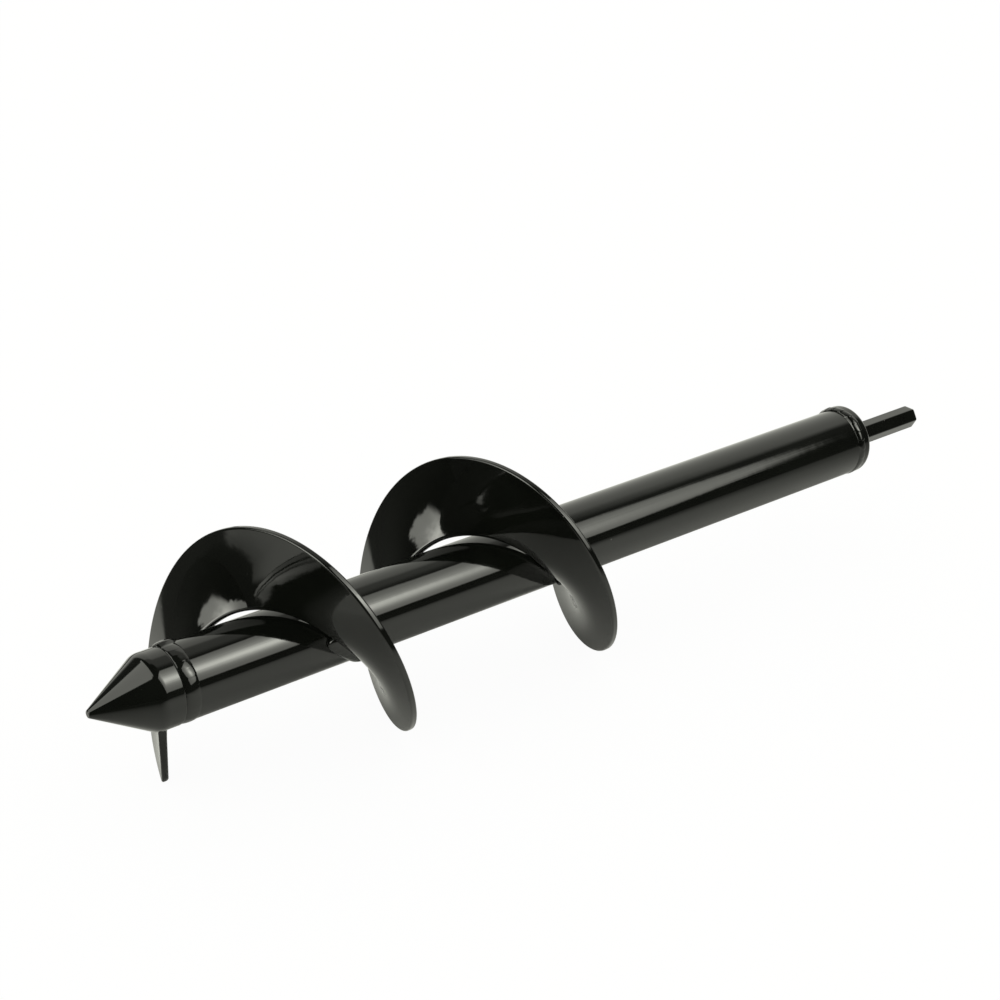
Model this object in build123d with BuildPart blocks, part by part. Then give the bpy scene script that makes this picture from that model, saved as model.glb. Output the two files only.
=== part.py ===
from build123d import *
import os
from math import cos, hypot, pi, radians, sin

os.makedirs("parts", exist_ok=True)

# A soil auger bit for a drill: a pointed tube with a right-handed screw flight welded round its
# lower half and a hexagonal shank welded into its top. It lies on its side with the point
# towards -X, resting on the flight's rim. Stations are distances along the auger from the
# cone's theoretical point. Angles go round the auger from +Y towards +Z.

# ---- Driving dimensions, millimetres and degrees ----
overall_length = 458.4  # the cone's theoretical point to the shank's end

tube_radius = 15.875
tube_wall = 2.0
tube_start = 37.6
tube_end = 407.0
tube_bevel = 0.8

cone_length = 27.6
collar_radius = 16.0
collar_end = 36.8
nose_station = 2.6  # the point is blunted here
nose_rounding = 0.6
cone_base_rounding = 7.0
spigot_length = 15.0
fit_clearance = 0.05

flight_radius = 51.0
flight_bore_radius = 17.5
flight_thickness = 2.9
flight_pitch = 105.15
lower_flight_lift = 0.1  # each turn's own axis lies this far above the tube's
upper_flight_lift = 0.5
flight_station_at_zero = 59.4  # station of the rim's front edge at angle 0
flight_start_angle = -80.0
flight_joint_angle = 306.0
flight_end_angle = 690.0
lead_at_start = 3.3  # how far the inner edge runs ahead of the rim, towards the point
lead_full = 5.8
rim_rounding = 0.9

cap_radius = 16.4
cap_end = 412.8
cap_rounding = 2.0
shank_across_flats = 9.525  # 3/8 in hexagon
shank_start = 378.0
shank_end_rounding = 1.5

tip_bead_station = 40.4
tip_bead_half_width = 3.6
tip_bead_rise = 0.6
tip_bead_sink = 0.9  # the bead's oval is centred this far under the tube's surface
tip_lump_angle = 64.0
tip_lump_half_length = 5.4
tip_lump_rise = 1.9
cap_bead_station = 407.8
cap_bead_half_width = 2.4
cap_bead_rise = 1.1
cap_bead_sink = 0.9
shank_bead_radius = 3.2
joint_bead_radius = 2.1
joint_bead_margin = 0.8  # the bead stops this far inside the plate's edges

# Stitch welds: the angles where each starts and ends, and its radius.
stitches = {
    "start": (-72, -44, 2.0),
    "lower": (174, 222, 2.0),
    "joint": (294, 318, 2.0),
    "upper": (576, 582, 1.6),
    "end": (656, 684, 2.0),
}
stitch_ahead = 0.9  # a stitch's middle lies this far ahead of the plate's inner edge
stitch_lift = -0.4  # and this far outside it

# ---- Frame: the origin is under the middle of the auger, on the surface it lies on ----
tube_height = flight_radius - lower_flight_lift  # the lower turn lies on the floor
tube_bore_radius = tube_radius - tube_wall
middle_station = (nose_station + overall_length) / 2
tube_axis = Axis((0, 0, tube_height), (1, 0, 0))

# Turned profiles are drawn on the upright plane through the tube's axis: local x is along the
# auger and local y is the radius.
profile_plane = Plane(origin=(0, 0, tube_height), x_dir=(1, 0, 0), z_dir=(0, -1, 0))


def x_at(station):
    """Global X of a station."""
    return station - middle_station


def rim_station(angle):
    """Station of the flight rim's front edge."""
    return flight_station_at_zero + flight_pitch * angle / 360


def lead_at(angle):
    """The inner edge's lead grows along the lower flight and then stays."""
    share = (angle - flight_start_angle) / (flight_joint_angle - flight_start_angle)
    return lead_at_start + (lead_full - lead_at_start) * min(share, 1)


def radial_plane(angle, lift):
    """Plane through a lifted flight axis: local x along the auger, local y outwards."""
    normal = (0, -sin(radians(angle)), cos(radians(angle)))
    return Plane(origin=(0, 0, tube_height + lift), x_dir=(1, 0, 0), z_dir=normal)


def axial_thickness(radius, lead):
    """Length of the plate's section along the auger where its true thickness is constant."""
    twist = flight_pitch / (2 * pi * radius)
    lean = lead / (flight_radius - flight_bore_radius)
    return flight_thickness * hypot(1, twist, lean)


def helix_path(radius, start_angle, end_angle, station, lift):
    """Helix of the flight's pitch from a station at the start angle."""
    turns = (end_angle - start_angle) / 360
    axis_point = (x_at(station), 0, tube_height + lift)
    with BuildLine() as path:
        add(
            Helix(
                flight_pitch,
                flight_pitch * turns,
                radius,
                center=axis_point,
                direction=(1, 0, 0),
                mode=Mode.PRIVATE,
            ).rotate(Axis(axis_point, (1, 0, 0)), start_angle - 90)
        )
    return path.line


def save(builder, name):
    """Label a finished piece and write it to its own file."""
    builder.part.label = name
    export_step(builder.part, f"parts/{name}.step")


# ---- Centre tube ----
with BuildPart() as centre_tube:
    with BuildSketch(Plane.YZ.offset(x_at(tube_start))):
        with Locations((0, tube_height)):
            Circle(tube_radius)
            Circle(tube_bore_radius, mode=Mode.SUBTRACT)
    extrude(amount=tube_end - tube_start)
    rims = centre_tube.edges().filter_by(GeomType.CIRCLE).group_by(SortBy.RADIUS)[-1]
    chamfer(rims, tube_bevel)
save(centre_tube, "centre_tube")

# ---- Pilot tip: a solid cone, a short collar and a spigot inside the tube ----
nose_radius = collar_radius * nose_station / cone_length
spigot_radius = tube_bore_radius - fit_clearance
spigot_end = tube_start + spigot_length
with BuildPart() as pilot_tip:
    with BuildSketch(profile_plane) as tip_profile:
        with BuildLine():
            Polyline(
                (x_at(nose_station), 0),
                (x_at(nose_station), nose_radius),
                (x_at(cone_length), collar_radius),
                (x_at(collar_end), collar_radius),
                (x_at(collar_end), spigot_radius),
                (x_at(spigot_end), spigot_radius),
                (x_at(spigot_end), 0),
                close=True,
            )
        make_face()
        outer_corners = tip_profile.vertices().group_by(Axis.Y)[-1].sort_by(Axis.X)
        fillet(outer_corners[0], cone_base_rounding)
        nose_corner = tip_profile.vertices().group_by(Axis.X)[0].sort_by(Axis.Y)[-1]
        fillet(nose_corner, nose_rounding)
    revolve(axis=tube_axis)
save(pilot_tip, "pilot_tip")

# ---- End cap: a thick disc butted on the tube's end, bored for the shank ----
shank_corner_radius = shank_across_flats / 2 / cos(radians(30))
with BuildPart() as end_cap:
    with BuildSketch(Plane.YZ.offset(x_at(tube_end))):
        with Locations((0, tube_height)):
            Circle(cap_radius)
            Circle(shank_corner_radius + fit_clearance, mode=Mode.SUBTRACT)
    extrude(amount=cap_end - tube_end)
    back_circles = end_cap.edges().filter_by(GeomType.CIRCLE).group_by(Axis.X)[-1]
    fillet(back_circles.sort_by(SortBy.RADIUS)[-1], cap_rounding)
save(end_cap, "end_cap")

# ---- Hex shank: two of its flats lie level, and its inner end is inside the tube ----
with BuildPart() as hex_shank:
    with BuildSketch(Plane.YZ.offset(x_at(shank_start))):
        with Locations((0, tube_height)):
            RegularPolygon(shank_corner_radius, 6)
    extrude(amount=overall_length - shank_start)
    fillet(hex_shank.faces().sort_by(Axis.X)[-1].edges(), shank_end_rounding)
save(hex_shank, "hex_shank")


# ---- Flight: two pressed steel turns, butted end to end ----
def flight_section(angle, lift):
    """The plate's section at an angle, its outer edge rounded."""
    front = x_at(rim_station(angle))
    lead = lead_at(angle)
    with BuildSketch(radial_plane(angle, lift)) as section:
        with BuildLine():
            Polyline(
                (front - lead, flight_bore_radius),
                (front, flight_radius),
                (front + axial_thickness(flight_radius, lead), flight_radius),
                (front - lead + axial_thickness(flight_bore_radius, lead), flight_bore_radius),
                close=True,
            )
        make_face()
        fillet(section.vertices().group_by(Axis.Y)[-1], rim_rounding)
    return section.sketch


def flight_turn(start_angle, end_angle, lift):
    """One pressed turn of the flight."""
    path = helix_path(flight_bore_radius, start_angle, end_angle, rim_station(start_angle), lift)
    with BuildPart() as turn:
        sections = [flight_section(start_angle, lift), flight_section(end_angle, lift)]
        sweep(sections, path=path, multisection=True, is_frenet=True)
    return turn


lower_flight = flight_turn(flight_start_angle, flight_joint_angle, lower_flight_lift)
save(lower_flight, "lower_flight")
upper_flight = flight_turn(flight_joint_angle, flight_end_angle, upper_flight_lift)
save(upper_flight, "upper_flight")


# ---- Weld beads: each is laid over its joint and then cut back to the pieces it joins ----
def cut_back(*joined):
    """Take the joined pieces out of the bead that is being made."""
    for piece in joined:
        add(piece.part, mode=Mode.SUBTRACT)


def half_oval(plane, half_width, height):
    """The upper half of an oval centred on a plane's origin."""
    with BuildSketch(plane) as section:
        Ellipse(half_width, height)
        Rectangle(2 * half_width, height, align=(Align.CENTER, Align.MAX), mode=Mode.SUBTRACT)
    return section.sketch


def profile_plane_at(station, radius):
    """The profile plane with its origin moved to a station and a radius."""
    return Plane((x_at(station), 0, tube_height + radius), x_dir=(1, 0, 0), z_dir=profile_plane.z_dir)


def ring_bead(station, half_width, rise, sink):
    """A bead all round the tube."""
    plane = profile_plane_at(station, tube_radius - sink)
    revolve(half_oval(plane, half_width, rise + sink), axis=tube_axis)


# The bead between the tip's collar and the tube, with a lump where its two ends overlap.
lump_outwards = Vector(0, cos(radians(tip_lump_angle)), sin(radians(tip_lump_angle)))
lump_centre = Vector(x_at(tip_bead_station), 0, tube_height) + lump_outwards * tube_radius
lump_plane = Plane(lump_centre, x_dir=(1, 0, 0), z_dir=Vector(1, 0, 0).cross(lump_outwards))
with BuildPart() as tip_weld:
    ring_bead(tip_bead_station, tip_bead_half_width, tip_bead_rise, tip_bead_sink)
    lump_half = half_oval(lump_plane, tip_lump_half_length, tip_lump_rise)
    revolve(lump_half, axis=Axis(lump_centre, (1, 0, 0)))
    cut_back(centre_tube, pilot_tip)
save(tip_weld, "tip_weld")

# The bead that covers the joint between the tube's end and the cap.
with BuildPart() as cap_weld:
    ring_bead(cap_bead_station, cap_bead_half_width, cap_bead_rise, cap_bead_sink)
    cut_back(centre_tube, end_cap)
save(cap_weld, "cap_weld")

# The fillet round the shank where it leaves the cap.
with BuildPart() as shank_weld:
    with BuildSketch(profile_plane_at(cap_end, shank_across_flats / 2)):
        Circle(shank_bead_radius)
        with Locations((-shank_bead_radius, 0)):
            Rectangle(2 * shank_bead_radius, 2 * shank_bead_radius, mode=Mode.SUBTRACT)
    revolve(axis=tube_axis)
    cut_back(hex_shank)
save(shank_weld, "shank_weld")

# The butt joint between the two turns: a bead across the plate that stands proud on both faces.
with BuildPart() as flight_joint_weld:
    front = x_at(rim_station(flight_joint_angle))
    inner_middle = front - lead_full + axial_thickness(flight_bore_radius, lead_full) / 2
    outer_middle = front + axial_thickness(flight_radius, lead_full) / 2
    with BuildLine(radial_plane(flight_joint_angle, lower_flight_lift)) as joint_line:
        Line(
            (inner_middle, flight_bore_radius + joint_bead_margin),
            (outer_middle, flight_radius - joint_bead_margin),
        )
    with BuildSketch(Plane(joint_line.line @ 0, z_dir=joint_line.line % 0)):
        Circle(joint_bead_radius)
    sweep(path=joint_line.line)
    cut_back(lower_flight, upper_flight)
save(flight_joint_weld, "flight_joint_weld")


# Stitch welds in the corner between the tube and the front of the plate's inner edge.
def stitch(start_angle, end_angle, radius):
    """A round bead along the flight's inner edge, with round ends."""
    lift = lower_flight_lift if start_angle < flight_joint_angle else upper_flight_lift
    start_station = rim_station(start_angle) - lead_at(start_angle) - stitch_ahead
    path = helix_path(
        flight_bore_radius + stitch_lift, start_angle, end_angle, start_station, lift
    )
    with BuildPart() as bead:
        with BuildSketch(Plane(path @ 0, z_dir=path % 0)):
            Circle(radius)
        sweep(path=path, is_frenet=True)
        with Locations(path @ 0, path @ 1):
            Sphere(radius)
        cut_back(centre_tube, pilot_tip, tip_weld, lower_flight, upper_flight, flight_joint_weld)
    return bead


for place, (first_angle, last_angle, bead_radius) in stitches.items():
    save(stitch(first_angle, last_angle, bead_radius), f"stitch_weld_{place}")
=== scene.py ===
from math import asinh, cos, exp, hypot, pi, radians, sin, sinh, sqrt, tan

import bmesh
import bpy
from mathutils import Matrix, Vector, noise


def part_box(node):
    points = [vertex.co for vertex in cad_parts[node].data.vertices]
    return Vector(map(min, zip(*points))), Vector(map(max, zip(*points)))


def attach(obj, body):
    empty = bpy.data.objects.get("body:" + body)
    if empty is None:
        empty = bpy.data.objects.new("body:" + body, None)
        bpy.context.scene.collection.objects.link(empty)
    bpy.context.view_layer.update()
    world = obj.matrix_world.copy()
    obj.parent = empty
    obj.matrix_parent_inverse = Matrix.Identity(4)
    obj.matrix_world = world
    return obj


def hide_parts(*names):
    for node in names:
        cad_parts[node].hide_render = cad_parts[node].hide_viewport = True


# The auger lies along X with its point towards -X. The meshes are worked out in millimetres and
# written in metres. Stations are distances along the auger from the cone's theoretical point.
# Angles go round the auger from +Y towards +Z.

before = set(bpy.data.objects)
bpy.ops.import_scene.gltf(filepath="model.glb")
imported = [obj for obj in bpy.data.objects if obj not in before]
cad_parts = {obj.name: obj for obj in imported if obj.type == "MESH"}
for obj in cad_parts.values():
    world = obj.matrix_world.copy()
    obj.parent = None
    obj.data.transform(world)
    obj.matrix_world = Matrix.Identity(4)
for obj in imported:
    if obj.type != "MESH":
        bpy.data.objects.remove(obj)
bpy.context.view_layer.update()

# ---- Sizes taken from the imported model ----
MM = 0.001
tube_low, tube_high = (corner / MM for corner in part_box("centre_tube"))
tip_low, tip_high = (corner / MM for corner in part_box("pilot_tip"))
cap_low, cap_high = (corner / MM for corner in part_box("end_cap"))
shank_low, shank_high = (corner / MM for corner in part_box("hex_shank"))
lower_low, lower_high = (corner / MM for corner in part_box("lower_flight"))
upper_low, upper_high = (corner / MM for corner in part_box("upper_flight"))

tube_radius = (tube_high.z - tube_low.z) / 2
tube_height = (tube_high.z + tube_low.z) / 2
cap_radius = (cap_high.z - cap_low.z) / 2
shank_apothem = (shank_high.z - shank_low.z) / 2
flight_radius = (lower_high.z - lower_low.z) / 2
lower_height = (lower_high.z + lower_low.z) / 2
upper_height = (upper_high.z + upper_low.z) / 2

# ---- Driving dimensions that the boxes don't give, millimetres and degrees ----
tube_wall = 2.0
edge_rounding = 0.8
overall_length = 458.4
cone_length = 27.6
collar_radius = 16.0
collar_end = 36.8
collar_edge_rounding = 0.9
nose_radius = 1.5
nose_rounding = 0.6
cone_base_rounding = 7.0
fit_clearance = 0.05
cap_rounding = 2.2
cap_bore_rounding = 0.2
cap_off_centre = 0.6  # the cap sits this far above the tube's axis
shank_end_rounding = 2.2
shank_corner_rounding = 0.7

flight_bore_radius = 17.5
flight_thickness = 2.9
flight_pitch = 105.15
flight_station_at_zero = 59.4
flight_start_angle = -80.0
flight_joint_angle = 306.0
flight_end_angle = 690.0
lead_at_start = 3.3
lead_full = 5.8
rim_rounding = 0.9
bore_rounding = 1.35
cut_rounding = 1.3
cut_corner_rounding = 2.5  # the rim's corners at the two cut ends
cut_rim_rounding = 1.4  # the rim is rounder there

# Ring beads. Each is sunk below the tube's surface and rises above it, with overlapping ripples
# at a spacing along the bead and of a depth that is a share of the rise.
tip_bead = {"station": 40.3, "half_width": 3.9, "rise": 0.32, "sunk": 0.8, "spacing": 3.4, "depth": 0.10}
cap_bead = {"station": 407.3, "half_width": 2.4, "rise": 0.75, "sunk": 0.5, "spacing": 4.4, "depth": 0.15}
ring_bead_sink = 0.4
tip_lump_angle = 64.0
joint_bead_radius = 2.1
joint_bead_margin = 0.8
joint_bead_end_rounding = 1.2
shank_bead_radius = 2.9
shank_bead_sink = 2.4
ripple_spacing = 2.6

# Stitch welds: the angles where each starts and ends, and its half width.
stitches = {
    "start": (-72, -44, 2.0),
    "lower": (166, 222, 3.2),
    "joint": (294, 318, 2.0),
    "upper": (576, 582, 1.6),
    "end": (656, 684, 2.0),
}
plain_stitch = 2.0  # half width of a stitch that lies the usual distance ahead of the plate
stitch_ahead = 0.9
stitch_rise = 1.3
stitch_lift = -0.4

station_zero = shank_high.x - overall_length
hexagon_half = radians(30)  # half the angle that a side of a hexagon spans
smallest_hole = 0.02  # a solid turned piece stops this far from its axis


def x_at(station):
    """X of a station, in millimetres."""
    return station_zero + station


# ---- Meshes ----
def outline(corners, closed):
    """Points of an outline through (x, y, rounding, steps) corners; steps divide the edge that follows."""
    arc_steps = 7
    support = 0.15
    points = []
    count = len(corners)
    for i, (x, y, rounding, steps) in enumerate(corners):
        here = Vector((x, y))
        follows = Vector(corners[(i + 1) % count][:2])
        leads = Vector(corners[i - 1][:2])
        at_end = not closed and i in (0, count - 1)
        leaving = here
        if at_end or not rounding:
            points.append(here)
        else:
            back = (leads - here).normalized()
            ahead = (follows - here).normalized()
            turn = pi - back.angle(ahead)
            tangent = rounding * tan(turn / 2)
            middle = (back + ahead).normalized()
            centre = here + middle * hypot(rounding, tangent)
            start = here + back * tangent - centre
            side = 1 if start.cross(here + ahead * tangent - centre) > 0 else -1
            points.append(here + back * (tangent + support))
            for k in range(arc_steps + 1):
                swing = side * turn * k / arc_steps
                points.append(centre + Vector((
                    start.x * cos(swing) - start.y * sin(swing),
                    start.x * sin(swing) + start.y * cos(swing))))
            leaving = here + ahead * (tangent + support)
            points.append(leaving)
        if closed or i < count - 1:
            next_rounding = corners[(i + 1) % count][2]
            arriving = follows + (here - follows).normalized() * 2 * next_rounding
            for k in range(1, steps):
                points.append(leaving.lerp(arriving, k / steps))
    return points


def skin(name, rows, wrapped=False):
    """An object whose mesh covers rows of points. Each row is a closed loop, and the row of rows
    either closes on itself or ends in flat caps."""
    sharp_from = radians(40)
    count = len(rows[0])
    bm = bmesh.new()
    grid = [[bm.verts.new(point * MM) for point in row] for row in rows]
    for i in range(len(rows) if wrapped else len(rows) - 1):
        this, that = grid[i], grid[(i + 1) % len(rows)]
        for j in range(count):
            k = (j + 1) % count
            bm.faces.new((this[j], this[k], that[k], that[j]))
    if not wrapped:
        bm.faces.new(grid[0])
        bm.faces.new(grid[-1])
    bmesh.ops.recalc_face_normals(bm, faces=bm.faces)
    mesh = bpy.data.meshes.new(name)
    bm.to_mesh(mesh)
    bm.free()
    mesh.shade_smooth()
    mesh.set_sharp_from_angle(angle=sharp_from)
    obj = bpy.data.objects.new(name, mesh)
    bpy.context.scene.collection.objects.link(obj)
    return obj


def ring(x, radius, segments, wave=None):
    """Points of a circle round the tube's axis, pushed out by wave(x, angle)."""
    points = []
    for k in range(segments):
        angle = 2 * pi * k / segments
        out = radius + (wave(x, angle) if wave else 0)
        points.append(Vector((x, out * cos(angle), tube_height + out * sin(angle))))
    return points


def turned(name, corners, closed, segments=224, wave=None):
    """A turned piece from the corners of its half profile: x along the auger, y the radius."""
    profile = outline(corners, closed)
    return skin(name, [ring(p.x, p.y, segments, wave) for p in profile], wrapped=closed)


def finish_piece(obj, material, slot, *nodes):
    """Give a piece its material and its place in the assembly. Its slot is not used."""
    obj.data.materials.append(material)
    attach(obj, "root")
    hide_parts(*nodes)
    return obj


# ---- Turned pieces ----
def tube_wave(x, angle):
    """The drawn tube is true to a few hundredths of a millimetre."""
    error = 0.012
    length = 22.0
    round_tube = 2.2
    place = Vector((x / length, round_tube * cos(angle), round_tube * sin(angle)))
    return error * noise.noise(place)


def build_tube():
    inner = tube_radius - tube_wall
    outer_steps = 110
    return turned("tube_shell", [
        (tube_low.x, inner, 0, 2),
        (tube_low.x, tube_radius, edge_rounding, outer_steps),
        (tube_high.x, tube_radius, edge_rounding, 2),
        (tube_high.x, inner, 0, 2),
    ], closed=True, wave=tube_wave)


def build_tip():
    spigot_radius = tube_radius - tube_wall - fit_clearance
    cone_steps = 20
    collar_steps = 8
    return turned("pilot_point", [
        (tip_low.x, smallest_hole, 0, 1),
        (tip_low.x, nose_radius, nose_rounding, cone_steps),
        (x_at(cone_length), collar_radius, cone_base_rounding, collar_steps),
        (x_at(collar_end), collar_radius, collar_edge_rounding, 2),
        (x_at(collar_end), spigot_radius, 0, 2),
        (tip_high.x, spigot_radius, 0, 2),
        (tip_high.x, smallest_hole, 0, 1),
    ], closed=False)


def cap_wave(x, angle):
    """The cap was welded on slightly off centre."""
    return cap_off_centre * sin(angle)


def build_cap():
    bore = shank_apothem / cos(hexagon_half) + fit_clearance
    return turned("cap_disc", [
        (cap_low.x, bore, 0, 2),
        (cap_low.x, cap_radius, 0, 4),
        (cap_high.x, cap_radius, cap_rounding, 4),
        (cap_high.x, bore, cap_bore_rounding, 2),
    ], closed=True, wave=cap_wave)


def build_shank():
    """A hexagon bar with soft corners and a rounded end."""
    along_steps = 40
    round_steps = 11
    face_rings = 4
    ring_gap = 0.5
    softening = 0.4  # how fast the corners soften over the rounded end
    softest = 0.6  # the softest corners' rounding, as a share of the apothem

    def section(x, inset):
        apothem = shank_apothem - inset
        radius = apothem / cos(hexagon_half)
        soft = min(shank_corner_rounding + inset * softening, apothem * softest)
        turns = [2 * hexagon_half * k for k in range(6)]
        corners = [(radius * cos(turn), radius * sin(turn), soft, 3) for turn in turns]
        return [Vector((x, p.x, tube_height + p.y)) for p in outline(corners, closed=True)]

    straight = shank_high.x - shank_end_rounding - shank_low.x
    rows = [section(shank_low.x + straight * k / along_steps, 0) for k in range(along_steps)]
    for k in range(round_steps + 1):
        swing = pi / 2 * k / round_steps
        rows.append(section(
            shank_high.x - shank_end_rounding * (1 - sin(swing)),
            shank_end_rounding * (1 - cos(swing))))
    for k in range(1, face_rings + 1):
        rows.append(section(shank_high.x, shank_end_rounding + ring_gap * k))
    return skin("shank_bar", rows)


# ---- Flight ----
def rim_station(angle):
    """Station of the flight rim's front edge."""
    return flight_station_at_zero + flight_pitch * angle / 360


def lead_at(angle):
    """How far the inner edge runs ahead of the rim."""
    share = (angle - flight_start_angle) / (flight_joint_angle - flight_start_angle)
    return lead_at_start + (lead_full - lead_at_start) * min(share, 1)


def axial_thickness(radius, lead):
    """Length of the plate's section along the auger where its true thickness is constant."""
    twist = flight_pitch / (2 * pi * radius)
    lean = lead / (flight_radius - flight_bore_radius)
    return flight_thickness * hypot(1, twist, lean)


def plate_wave(angle, radius):
    """Pressing leaves the plate slightly uneven."""
    unevenness = 0.16
    along = 1.3
    across = 24.0
    seed = 3.0
    return unevenness * noise.noise(Vector((radians(angle) * along, radius / across, seed)))


def flight_height(angle):
    """Height of the axis of the turn that an angle belongs to."""
    return lower_height if angle < flight_joint_angle else upper_height


def flight_section(angle, height, inset=0.0, trim=0.0):
    """The plate's outline at an angle. The inset shrinks it all round where the cut end is
    rounded off, and the trim takes more off its rim, which is rounder there."""
    face_steps = 34
    full_trim = 1.0  # the rim is fully rounder where this much is off it
    least_rim = 0.1
    least_bore = 0.05
    flat = 0.05  # the rim keeps this much of its thickness unrounded on each side
    lead = lead_at(angle)
    front = x_at(rim_station(angle))
    thick_in = axial_thickness(flight_bore_radius, lead)
    thick_out = axial_thickness(flight_radius, lead)
    inner = flight_bore_radius + inset
    outer = flight_radius - inset - trim
    rounder = (cut_rim_rounding - rim_rounding) * min(trim / full_trim, 1)
    rim = max(min(rim_rounding + rounder, thick_out / 2 - inset - flat), least_rim)
    bore = max(bore_rounding - inset, least_bore)
    corners = [
        (front - lead + inset, inner, bore, face_steps),
        (front + inset, outer, rim, 1),
        (front + thick_out - inset, outer, rim, face_steps),
        (front - lead + thick_in - inset, inner, bore, 1),
    ]
    around = radians(angle)
    return [
        Vector((p.x + plate_wave(angle, p.y), p.y * cos(around), height + p.y * sin(around)))
        for p in outline(corners, closed=True)
    ]


def build_flight(name, start_angle, end_angle, height):
    """One pressed turn with softened cut ends."""
    soft_steps = 7
    corner_steps = 7
    steps = 180
    soft_angle = cut_rounding / (flight_radius * radians(1))
    corner_angle = cut_corner_rounding / (flight_radius * radians(1))
    first, last = start_angle + soft_angle, end_angle - soft_angle
    angles = [first + corner_angle * k / corner_steps for k in range(corner_steps)]
    inner_span = last - first - 2 * corner_angle
    angles += [first + corner_angle + inner_span * k / steps for k in range(steps + 1)]
    angles += [last - corner_angle * (1 - k / corner_steps) for k in range(1, corner_steps + 1)]

    def corner_trim(angle):
        """What the rounded corner takes off the rim at an angle. The joint keeps its corners."""
        ends = [end for end in (start_angle, end_angle) if end != flight_joint_angle]
        near = min(abs(angle - end) for end in ends) / corner_angle
        return cut_corner_rounding * (1 - sqrt(1 - (1 - near) ** 2)) if near < 1 else 0

    rows = [flight_section(angle, height, 0, corner_trim(angle)) for angle in angles]
    for k in range(1, soft_steps + 1):
        swing = pi / 2 * k / soft_steps
        reach = soft_angle * sin(swing)
        inset = cut_rounding * (1 - cos(swing))
        for angle, place in ((first - reach, 0), (last + reach, len(rows))):
            rows.insert(place, flight_section(angle, height, inset, corner_trim(angle)))
    return skin(name, rows)


# ---- Weld beads ----
def bead(name, steps, frame_at, half_width, rise, sink, ripple, closed, sunk=0.0):
    """A weld bead along a path. frame_at(share) gives its centre, its direction out of the work,
    the direction across it, and how much wider and taller it is there. The rise counts from
    the work's surface, which lies the sunk distance above the centre."""
    across_steps = 28
    widening = 0.3  # how much of a ripple's height shows in the bead's width
    rows = []
    for i in range(steps):
        share = i / steps if closed else i / (steps - 1)
        centre, out, across, wider, taller = frame_at(share)
        row = []
        for j in range(across_steps):
            turn = 2 * pi * j / across_steps
            crest = ripple(share, turn)
            height = sunk + rise * taller * (1 + crest) if sin(turn) > 0 else sink * wider
            row.append(centre
                       + across * (half_width * wider * cos(turn) * (1 + widening * crest))
                       + out * (height * sin(turn)))
        rows.append(row)
    return skin(name, rows, wrapped=closed)


def round_end(share, length, radius):
    """Scale that rounds the bead off at both ends of a path of that length."""
    least = 0.02
    near = min(share, 1 - share) * length
    if near >= radius:
        return 1.0
    return max(sqrt(1 - (1 - near / radius) ** 2), least)


def ripples(length, spacing, depth, seed):
    """The overlapping crescents of a hand-laid bead, with uneven spacing."""
    crescent = 0.35  # how far a ripple bends at the bead's sides, in spacings
    unevenness = 0.35  # of the spacing, in spacings
    drift = 3  # length over which the spacing changes, in spacings
    lump_length = 2.2  # in spacings
    lump_depth = 1.4  # in ripple depths

    def at(share, turn):
        along = share * length
        bend = crescent * spacing * cos(turn) ** 2
        stray = noise.noise(Vector((along / (drift * spacing), seed, 0)))
        saw = ((along + bend) / spacing + unevenness * stray) % 1
        lumps = noise.noise(Vector((along / (lump_length * spacing), seed + 5, turn)))
        return depth * (saw - 0.5) + lump_depth * depth * lumps
    return at


def seamless(laps, blend_share):
    """Blend the two ends of a ring's ripples where the bead meets itself."""
    def at(share, turn):
        blend = min(share / blend_share, 1)
        return laps(share, turn) * blend + laps(share + 1, turn) * (1 - blend)
    return at


def ring_bead(name, swell, seed, station, half_width, rise, sunk, spacing, depth):
    """A bead round the tube."""
    steps = 420
    blend_share = 0.04
    wander = 0.2
    laps = ripples(2 * pi * tube_radius, spacing, depth, seed)

    def frame_at(share):
        angle = 2 * pi * share
        out = Vector((0, cos(angle), sin(angle)))
        stray = wander * noise.noise(Vector((2 * cos(angle), 2 * sin(angle), seed)))
        wider, taller = swell(angle)
        centre = Vector((x_at(station) + stray, 0, tube_height)) + out * (tube_radius - sunk)
        return centre, out, Vector((1, 0, 0)), wider, taller

    ripple = seamless(laps, blend_share)
    return bead(name, steps, frame_at, half_width, rise, ring_bead_sink, ripple, closed=True, sunk=sunk)


def tip_swell(angle):
    """The bead's ends overlap in a lump on the upper side."""
    lump_reach = radians(17)
    lump_flank = radians(11)
    lump_width = 0.35
    lump_height = 3.4
    away = abs((angle - radians(tip_lump_angle) + pi) % (2 * pi) - pi)
    share = min(max((lump_reach - away) / lump_flank, 0), 1)
    lump = share * share * (3 - 2 * share)
    return 1 + lump_width * lump, 1 + lump_height * lump


def cap_swell(angle):
    """The bead is fuller on the upper side."""
    fuller_width = 0.1
    fuller_height = 0.75
    return 1 + fuller_width * sin(angle), 1 + fuller_height * sin(angle)


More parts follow.
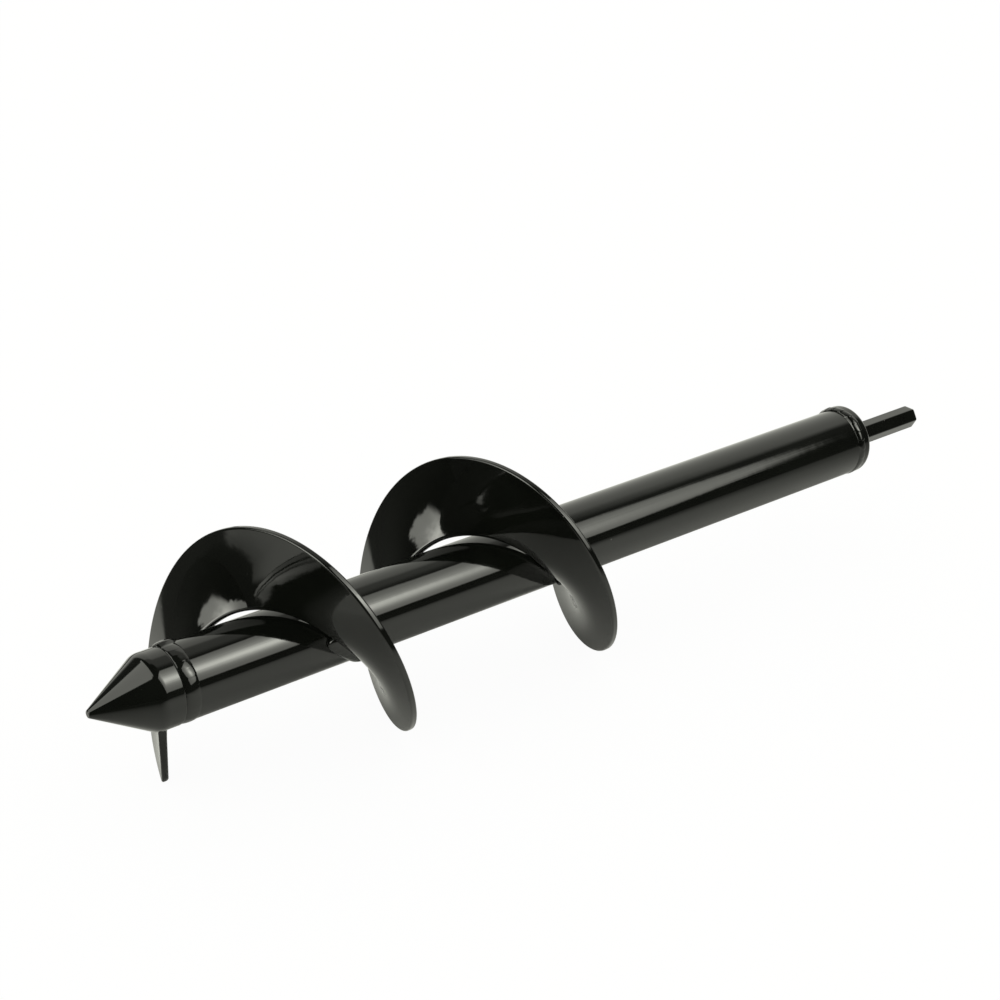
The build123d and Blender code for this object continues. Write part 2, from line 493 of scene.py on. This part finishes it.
def stitch_bead(name, start_angle, end_angle, half_width, seed):
    """A bead in the corner between the tube and the front of the plate's inner edge."""
    steps = 150
    ripple_depth = 0.07
    tilt = 0.9  # how far the bead leans towards the point as it leaves the tube
    extra_ahead = 0.6  # a wider bead's centre lies this share of its extra width further ahead
    path_radius = flight_bore_radius + stitch_lift
    advance = flight_pitch / (2 * pi)
    length = radians(end_angle - start_angle) * hypot(path_radius, advance)
    laps = ripples(length, ripple_spacing, ripple_depth, seed)
    height = flight_height(start_angle)
    ahead = stitch_ahead + (half_width - plain_stitch) * extra_ahead

    def frame_at(share):
        angle = start_angle + (end_angle - start_angle) * share
        turn = radians(angle)
        radial = Vector((0, cos(turn), sin(turn)))
        forward = Vector((advance, -sin(turn) * path_radius, cos(turn) * path_radius)).normalized()
        out = radial - Vector((tilt, 0, 0))
        out = (out - forward * out.dot(forward)).normalized()
        station = rim_station(angle) - lead_at(angle) - ahead
        centre = Vector((x_at(station), 0, height)) + radial * path_radius
        scale = round_end(share, length, half_width)
        return centre, out, forward.cross(out), scale, scale

    return bead(name, steps, frame_at, half_width, stitch_rise, half_width, laps, closed=False)


def joint_bead():
    """The butt joint of the two turns: a bead across the plate, proud on both faces."""
    steps = 110
    ripple_depth = 0.12
    turn = radians(flight_joint_angle)
    radial = Vector((0, cos(turn), sin(turn)))
    front = x_at(rim_station(flight_joint_angle))
    inner_x = front - lead_full + axial_thickness(flight_bore_radius, lead_full) / 2
    outer_x = front + axial_thickness(flight_radius, lead_full) / 2
    base = Vector((0, 0, lower_height))
    start = base + Vector((inner_x, 0, 0)) + radial * (flight_bore_radius + joint_bead_margin)
    end = base + Vector((outer_x, 0, 0)) + radial * (flight_radius - joint_bead_margin)
    along = (end - start).normalized()
    length = (end - start).length
    laps = ripples(length, ripple_spacing, ripple_depth, seed=41)
    side = Vector((0, -sin(turn), cos(turn)))
    out = (Vector((-1, 0, 0)) + along * along.x).normalized()

    def frame_at(share):
        scale = round_end(share, length, joint_bead_end_rounding)
        return start.lerp(end, share), out, side, scale, scale

    size = joint_bead_radius
    return bead("weld_flight_joint", steps, frame_at, size, size, size, laps, closed=False)


def shank_bead():
    """The fillet round the shank where it leaves the cap."""
    steps = 200
    ripple_depth = 0.1
    blend_share = 0.06
    laps = ripples(2 * pi * shank_apothem, ripple_spacing, ripple_depth, seed=77)

    def frame_at(share):
        angle = 2 * pi * share
        out = Vector((0, cos(angle), sin(angle)))
        centre = Vector((cap_high.x, 0, tube_height)) + out * shank_apothem
        return centre, out, Vector((1, 0, 0)), 1, 1

    size = shank_bead_radius
    ripple = seamless(laps, blend_share)
    return bead("weld_shank", steps, frame_at, size, size, shank_bead_sink, ripple, closed=True)


# ---- Materials ----
# Bumps in the enamel: noise scale, noise detail and height in metres. The first is slow
# waviness and the other two are orange peel.
enamel_bumps = ((75, 2.0, 0.00003), (260, 1.0, 0.000007), (520, 1.0, 0.0000022))
enamel_ior = 1.5
enamel_roughness = (0.035, 0.075)
dust_colour = (0.11, 0.11, 0.10)
dust_scale, shade_scale, haze_scale = 160, 45, 70


def enamel(name, colour, peel=1.0, specks=1.0):
    """Gloss black stoving enamel: a little orange peel, slow waviness, handling haze and dust specks."""
    material = bpy.data.materials.new(name)
    material.use_nodes = True
    nodes, links = material.node_tree.nodes, material.node_tree.links
    shader = nodes["Principled BSDF"]
    shader.inputs["IOR"].default_value = enamel_ior
    place = nodes.new("ShaderNodeTexCoord").outputs["Object"]

    def noise_field(scale, detail=2.0):
        node = nodes.new("ShaderNodeTexNoise")
        node.inputs["Scale"].default_value = scale
        node.inputs["Detail"].default_value = detail
        links.new(place, node.inputs["Vector"])
        return node.outputs["Fac"]

    def spread(value, low, high, start=0.35, end=0.65):
        """Map values from start to end onto low to high."""
        node = nodes.new("ShaderNodeMapRange")
        links.new(value, node.inputs["Value"])
        for socket, number in zip(("From Min", "From Max", "To Min", "To Max"), (start, end, low, high)):
            node.inputs[socket].default_value = number
        return node.outputs["Result"]

    def mixed(factor, first, second):
        """A mix of two colours, each a colour or another node's output."""
        node = nodes.new("ShaderNodeMix")
        node.data_type = "RGBA"
        links.new(factor, node.inputs["Factor"])
        for socket, value in (("A", first), ("B", second)):
            if isinstance(value, bpy.types.NodeSocket):
                links.new(value, node.inputs[socket])
            else:
                node.inputs[socket].default_value = (*value, 1)
        return node.outputs["Result"]

    # Dust under and on the paint: a few cells of a fine cell pattern hold one small pale dot each.
    cells = nodes.new("ShaderNodeTexVoronoi")
    cells.inputs["Scale"].default_value = dust_scale
    links.new(place, cells.inputs["Vector"])
    near = spread(cells.outputs["Distance"], 1.0, 0.0, start=0.03, end=0.05)
    pick = nodes.new("ShaderNodeSeparateColor")
    links.new(cells.outputs["Color"], pick.inputs["Color"])
    chosen = spread(pick.outputs["Red"], 0.0, specks, start=0.80, end=0.82)
    dust = nodes.new("ShaderNodeMath")
    dust.operation = "MULTIPLY"
    links.new(near, dust.inputs[0])
    links.new(chosen, dust.inputs[1])

    paler = [channel * 1.5 for channel in colour]
    shade = mixed(spread(noise_field(shade_scale), 0, 1), colour, paler)
    links.new(mixed(dust.outputs["Value"], shade, dust_colour), shader.inputs["Base Color"])

    haze = spread(noise_field(haze_scale, detail=4.0), *enamel_roughness)
    links.new(haze, shader.inputs["Roughness"])

    normal = None
    for scale, detail, height in enamel_bumps:
        bump = nodes.new("ShaderNodeBump")
        bump.inputs["Strength"].default_value = 1.0
        bump.inputs["Distance"].default_value = height * peel
        links.new(noise_field(scale, detail), bump.inputs["Height"])
        if normal:
            links.new(normal, bump.inputs["Normal"])
        normal = bump.outputs["Normal"]
    links.new(normal, shader.inputs["Normal"])
    return material


black = (0.0026, 0.0030, 0.0022)
tube_paint = enamel("tube_enamel", black, peel=0.7)
tip_paint = enamel("tip_enamel", black, peel=0.6)
flight_paint = enamel("flight_enamel", black, peel=1.0)
shank_paint = enamel("shank_enamel", black, peel=1.6)
weld_paint = enamel("weld_enamel", black, peel=2.5)

finish_piece(build_tube(), tube_paint, "tube_paint", "centre_tube")
finish_piece(build_tip(), tip_paint, "tip_paint", "pilot_tip")
finish_piece(build_cap(), tube_paint, "tube_paint", "end_cap")
finish_piece(build_shank(), shank_paint, "shank_paint", "hex_shank")
finish_piece(build_flight("flight_lower_turn", flight_start_angle, flight_joint_angle, lower_height),
             flight_paint, "flight_paint", "lower_flight")
finish_piece(build_flight("flight_upper_turn", flight_joint_angle, flight_end_angle, upper_height),
             flight_paint, "flight_paint", "upper_flight")
finish_piece(ring_bead("weld_tip", tip_swell, seed=11, **tip_bead), weld_paint, "weld_paint", "tip_weld")
finish_piece(ring_bead("weld_cap", cap_swell, seed=23, **cap_bead), weld_paint, "weld_paint", "cap_weld")
finish_piece(shank_bead(), weld_paint, "weld_paint", "shank_weld")
finish_piece(joint_bead(), weld_paint, "weld_paint", "flight_joint_weld")
for number, (place, (first_angle, last_angle, half_width)) in enumerate(stitches.items()):
    weld = stitch_bead("weld_stitch_" + place, first_angle, last_angle, half_width, seed=100 + 9 * number)
    finish_piece(weld, weld_paint, "weld_paint", "stitch_weld_" + place)


# ---- Stage ----
light_tint = (1.0, 1.01, 0.91)


def direction(azimuth, elevation):
    """Unit vector at an azimuth from -Y towards +X and an elevation above the floor."""
    a, e = radians(azimuth), radians(elevation)
    return Vector((sin(a) * cos(e), -cos(a) * cos(e), sin(e)))


def smooth(low, high, value):
    """Ease from 0 at low to 1 at high."""
    share = min(max((value - low) / (high - low), 0), 1)
    return share * share * (3 - 2 * share)


def hill(x, y, x_spread, y_spread):
    """A round-topped bump of height 1."""
    return exp(-0.5 * ((x / x_spread) ** 2 + (y / y_spread) ** 2))


class Panel:
    """Flat coordinates on a softbox that faces the auger from an azimuth and an elevation. One unit
    on it is its distance from the auger."""
    def __init__(self, azimuth, elevation):
        self.centre = direction(azimuth, elevation)
        self.right = Vector((cos(radians(azimuth)), sin(radians(azimuth)), 0))
        self.up = self.centre.cross(self.right)

    def at(self, ray):
        """Right and up on the panel where a ray meets it, or None behind the auger."""
        least_facing = 0.2
        facing = ray.dot(self.centre)
        if facing < least_facing:
            return None
        return ray.dot(self.right) / facing, ray.dot(self.up) / facing


right_box = Panel(azimuth=38, elevation=38)
left_box = Panel(azimuth=-95, elevation=28)


def right_light(ray):
    """The softbox at the right: hot in its middle, with a bowed right edge, slightly ragged."""
    spot = right_box.at(ray)
    if not spot:
        return 0
    x, y = spot
    x += 0.035 * noise.noise(Vector((x * 14, y * 30, 8.0)))
    left, right, bottom, top = -0.47, 0.23 + 0.45 * y - 0.45 * y * y, -0.46, 0.56
    inside = (smooth(left, left + 0.04, x) * (1 - smooth(right, right + 0.06, x))
              * smooth(bottom, bottom + 0.06, y) * (1 - smooth(top, top + 0.05, y)))
    whole = 2.0
    middle = 3.6 * hill(x + 0.04, y - 0.15, 0.15, 0.26)
    lamp = 6.0 * hill(x + 0.05, y - 0.06, 0.07, 0.12)
    return inside * (whole + middle + lamp)


def left_light(ray):
    """The large softbox at the left, with a hot spot low in its middle and ragged edges."""
    spot = left_box.at(ray)
    if not spot:
        return 0
    x, y = spot
    broad = 0.09 * noise.noise(Vector((x * 5, y * 13, 4.0)))
    fine = 0.05 * noise.noise(Vector((x * 16, y * 45, 9.0)))
    x += broad + fine
    left = min(y - 0.42, 0.33 - 2 * y)
    right = 0.36 + max(0, -0.2 - y)
    bottom = -0.30 - max(0, x - 0.1) + 0.67 * max(0, -0.25 - x)
    top = 0.85
    inside = (smooth(left, left + 0.06, x) * (1 - smooth(right, right + 0.05, x))
              * smooth(bottom, bottom + 0.06, y) * (1 - smooth(top, top + 0.05, y)))
    whole = 2.4
    middle = 1.2 * hill(x, y, 0.5, 0.25)
    lamp = 6.5 * hill(x - 0.17, y + 0.06, 0.13, 0.13)
    return inside * (whole + middle + lamp)


def backdrop_light(azimuth, elevation):
    """The white paper behind the auger, bright low down and weaker above."""
    bright, weak = 0.97, 0.45
    low = bright * (1 - smooth(46, 60, elevation)) * smooth(76, 98, azimuth)
    high = weak * (1 - smooth(68, 76, elevation)) * smooth(74, 112, azimuth)
    return max(low, high) * (1 - smooth(180, 188, azimuth))


def room_light(azimuth, elevation):
    """The dark room, a little lighter at three places."""
    darkest = 0.024
    behind_left = 0.09 * hill(azimuth + 150, elevation - 10, 18, 22)
    front_right = 0.04 * hill(azimuth - 25, elevation, 15, 9)
    at_right = 0.08 * hill(azimuth - 72, elevation - 40, 12, 25)
    return darkest + behind_left + front_right + at_right


def seen_only_in_reflections(obj):
    """Hide a light from everything but the paint's reflections."""
    obj.visible_camera = False
    obj.visible_diffuse = False
    obj.visible_shadow = False
    obj.visible_transmission = False


def stage_object(name, rows, values, material):
    """A stage surface from a grid of points, with one value of light per point."""
    mesh = bpy.data.meshes.new(name)
    width = len(rows[0])
    faces = [(i * width + j, i * width + j + 1, (i + 1) * width + j + 1, (i + 1) * width + j)
             for i in range(len(rows) - 1) for j in range(width - 1)]
    mesh.from_pydata([point for row in rows for point in row], [], faces)
    light = mesh.attributes.new("light", "FLOAT", "POINT")
    light.data.foreach_set("value", [value for row in values for value in row])
    mesh.materials.append(material)
    obj = bpy.data.objects.new(name, mesh)
    bpy.context.scene.collection.objects.link(obj)
    return obj


def stage_material(name):
    """A material with its nodes, its links and the grid's light values."""
    material = bpy.data.materials.new(name)
    material.use_nodes = True
    nodes, links = material.node_tree.nodes, material.node_tree.links
    nodes.clear()
    light = nodes.new("ShaderNodeAttribute")
    light.attribute_name = "light"
    return material, nodes, links, light.outputs["Fac"]


def build_dome():
    """The studio round the auger as its gloss paint mirrors it."""
    material, nodes, links, light = stage_material("studio_light")
    emission = nodes.new("ShaderNodeEmission")
    emission.inputs["Color"].default_value = (*light_tint, 1)
    links.new(light, emission.inputs["Strength"])
    links.new(emission.outputs["Emission"], nodes.new("ShaderNodeOutputMaterial").inputs["Surface"])
    material.cycles.emission_sampling = "NONE"

    distance = 8.0
    step = 0.75
    lowest, highest = -12, 90
    first_azimuth = -160
    almost_up = 89.9  # the last row stops short of straight up
    rows, values = [], []
    for i in range(round((highest - lowest) / step) + 1):
        elevation = min(lowest + i * step, almost_up)
        row, light_row = [], []
        for j in range(round(360 / step) + 1):
            azimuth = first_azimuth + j * step
            ray = direction(azimuth, elevation)
            row.append(ray * distance)
            room_azimuth = azimuth if azimuth < 180 else azimuth - 360
            light_row.append(
                max(right_light(ray), left_light(ray), backdrop_light(azimuth, elevation))
                + room_light(room_azimuth, elevation))
        rows.append(row)
        values.append(light_row)
    seen_only_in_reflections(stage_object("studio_dome", rows, values, material))


def floor_light(x, y, half_length):
    """Light and shade painted into the white sheet's colour under the auger, as the paint's reflections
    see it, from 0 to 1, at a place in metres.
    """
    # Behind the auger the painted light stops at the left in a slanting edge, and it is dimmer beside it.
    edge = -0.62 - 1.5 * max(y - 0.08, 0)
    behind = smooth(edge - 0.04, edge + 0.02, x) * (0.5 + 0.5 * smooth(edge, edge + 0.25, x))
    # In front of the auger the light fades out to the left.
    before = smooth(-0.42, -0.12, x)
    left = before + (behind - before) * smooth(-0.02, 0.02, y)
    # It is dimmer at the right in front, fades slowly towards the camera, and ends far behind.
    right = 1 - 0.5 * smooth(0.1, 0.35, x) * (1 - smooth(-0.1, 0.05, y))
    near = 1 - smooth(0, 1, -y)
    far = 1 - 0.95 * smooth(0.36, 0.5, y) * (1 - smooth(0.2, 0.5, x))
    darkest = 0.05
    lit = darkest + (1 - darkest) * left * right * near * far

    # The auger's own shadow lies just behind its axis, with gaps beside the flight's lowest points.
    shadow_y = 0.012
    shadow_end = half_length - 0.03
    gap_width = 0.02
    shadow = 0.58 * hill(max(abs(x) - shadow_end, 0), y - shadow_y, 0.02, 0.02)
    for gap_x in (-0.19, -0.088, 0.005):
        shadow *= 1 - hill(x - gap_x, max(shadow_y - y, 0), gap_width, gap_width / 2)
    return lit * (1 - shadow)


def build_floor():
    """A white floor. In the paint's reflections its light varies, and the camera sees it even."""
    material, nodes, links, light = stage_material("floor_white")
    whiteness = 0.9
    camera_lift = 0.95  # how much of the camera's view of the floor is plain white light
    path = nodes.new("ShaderNodeLightPath")

    def compute(operation, *values):
        node = nodes.new("ShaderNodeMath")
        node.operation = operation
        for socket, value in zip(node.inputs, values):
            if isinstance(value, bpy.types.NodeSocket):
                links.new(value, socket)
            else:
                socket.default_value = value
        return node.outputs["Value"]

    # Only reflections see the falloff: white minus the missing light.
    missing = compute("MULTIPLY", path.outputs["Is Glossy Ray"], compute("SUBTRACT", 1.0, light))
    white = compute("MULTIPLY", whiteness, compute("SUBTRACT", 1.0, missing))
    colour = nodes.new("ShaderNodeCombineColor")
    for channel, tint in zip(("Red", "Green", "Blue"), light_tint):
        links.new(compute("MULTIPLY", white, tint), colour.inputs[channel])
    diffuse = nodes.new("ShaderNodeBsdfDiffuse")
    links.new(colour.outputs["Color"], diffuse.inputs["Color"])
    lift = nodes.new("ShaderNodeEmission")
    lift.inputs["Color"].default_value = (1, 1, 1, 1)
    lift.inputs["Strength"].default_value = 1.0
    mix = nodes.new("ShaderNodeMixShader")
    links.new(compute("MULTIPLY", path.outputs["Is Camera Ray"], camera_lift), mix.inputs["Fac"])
    links.new(diffuse.outputs["BSDF"], mix.inputs[1])
    links.new(lift.outputs["Emission"], mix.inputs[2])
    links.new(mix.outputs["Shader"], nodes.new("ShaderNodeOutputMaterial").inputs["Surface"])

    reach = 6.0
    crowding = 0.12  # the grid is finest within about this distance of the auger
    half_steps = 110
    half_length = shank_high.x * MM
    steps = [crowding * sinh(asinh(reach / crowding) * k / half_steps)
             for k in range(-half_steps, half_steps + 1)]
    rows, values = [], []
    for y in steps:
        rows.append([Vector((x, y, 0)) for x in steps])
        values.append([floor_light(x, y, half_length) for x in steps])
    stage_object("floor", rows, values, material)


build_dome()
build_floor()


def build_world():
    """White light from everywhere on the floor; reflections see only the panels in a dark studio."""
    world = bpy.data.worlds.new("studio")
    bpy.context.scene.world = world
    world.use_nodes = True
    nodes, links = world.node_tree.nodes, world.node_tree.links
    nodes.clear()

    def background(strength):
        node = nodes.new("ShaderNodeBackground")
        node.inputs["Color"].default_value = (1, 1, 1, 1)
        node.inputs["Strength"].default_value = strength
        return node.outputs["Background"]

    path = nodes.new("ShaderNodeLightPath")
    mix = nodes.new("ShaderNodeMixShader")
    links.new(path.outputs["Is Glossy Ray"], mix.inputs["Fac"])
    links.new(background(strength=1.13), mix.inputs[1])
    links.new(background(strength=0.02), mix.inputs[2])
    links.new(mix.outputs["Shader"], nodes.new("ShaderNodeOutputWorld").inputs["Surface"])


build_world()
bpy.context.scene.view_settings.view_transform = "Standard"

# ---- Camera ----
camera_place = (-0.52232, -0.62937, 0.47026)
camera_below_level = 25.943
camera_to_right = 37.997
camera_data = bpy.data.cameras.new("camera")
camera_data.lens = 75.745
camera_data.sensor_width = 36.0
camera_data.clip_start = 0.01
camera = bpy.data.objects.new("camera", camera_data)
camera.location = camera_place
camera.rotation_euler = (radians(90 - camera_below_level), 0, radians(-camera_to_right))
bpy.context.scene.collection.objects.link(camera)
bpy.context.scene.camera = camera
